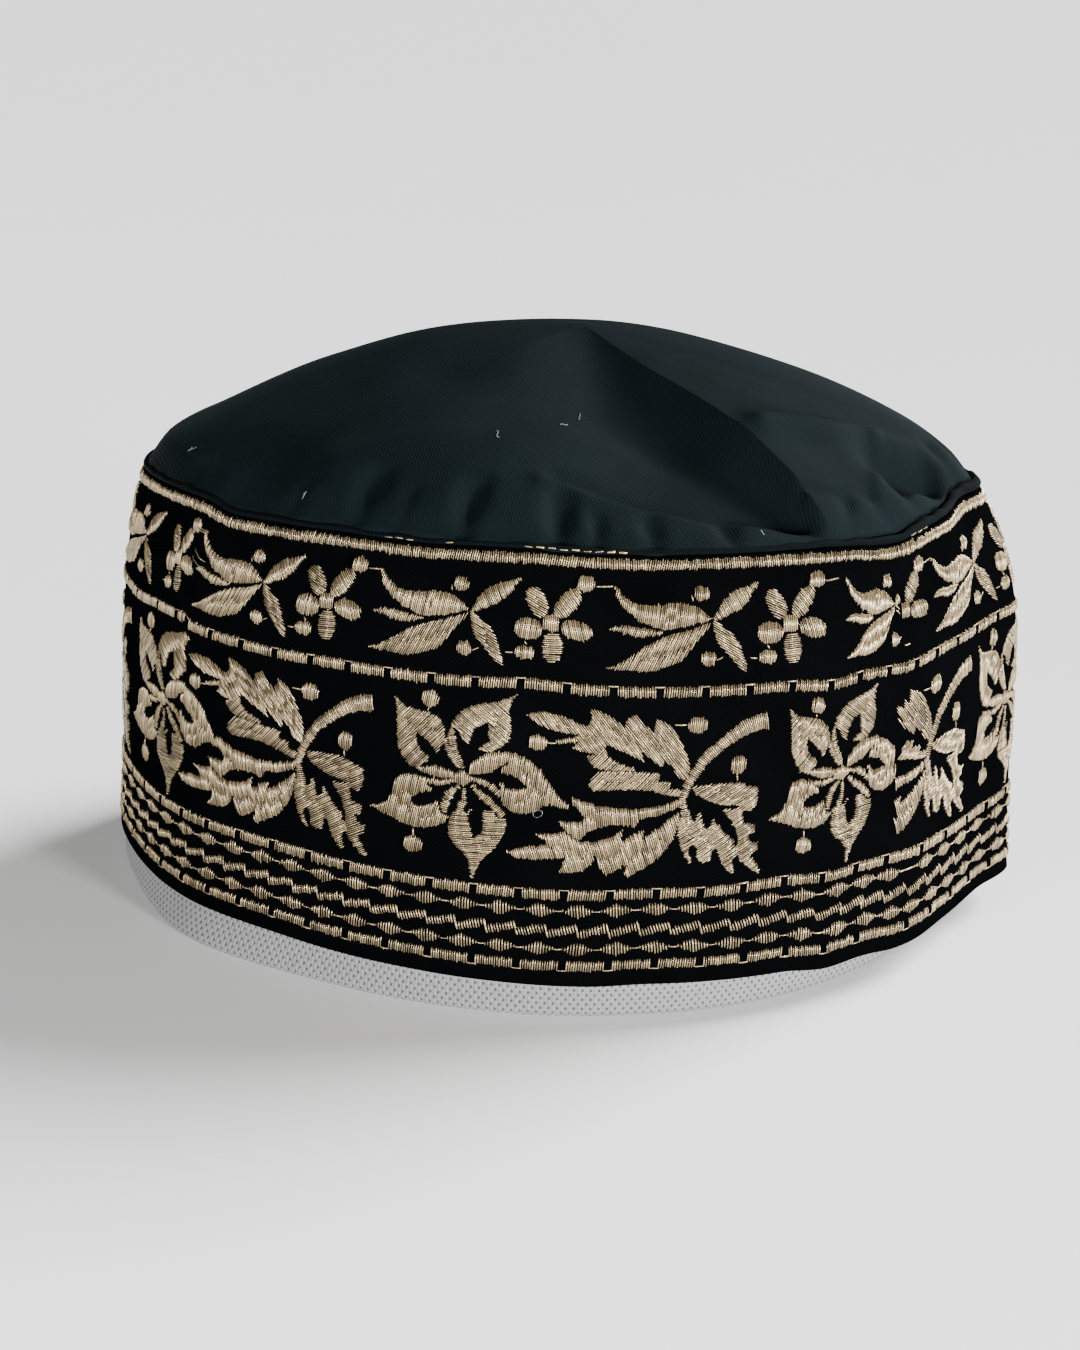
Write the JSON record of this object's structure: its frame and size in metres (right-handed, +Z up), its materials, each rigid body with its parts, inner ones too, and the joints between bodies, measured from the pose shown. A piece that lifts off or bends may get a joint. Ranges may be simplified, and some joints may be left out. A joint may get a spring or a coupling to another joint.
{
  "type": "kufi cap",
  "caption": "Soft round cap with an upright embroidered cloth band, a gathered creased crown, a corded seam and a knitted sweatband below the hem.",
  "frame": {"origin": "on the surface that the cap stands on, below the middle of the cap's own box", "axes": "+Z up; the embroidered front faces -Y; +X to the viewer's right of the front, along the wide way of the oval"},
  "size_m": [0.2192, 0.1524, 0.1336],
  "materials": {
    "band_cloth": "matt black twill embroidered with pale gold satin stitch",
    "crown_cloth": "soft black twill with a faint sheen",
    "seam_cord": "black cloth over a cord",
    "knit": "white knit with rows of small holes",
    "gold_thread": "pale gold rayon embroidery thread in satin stitch"
  },
  "bodies": {
    "root": {"band": "band_cloth", "crown": "crown_cloth", "crown_welt": "seam_cord", "sweatband": "knit"}
  },
  "joints": []
}
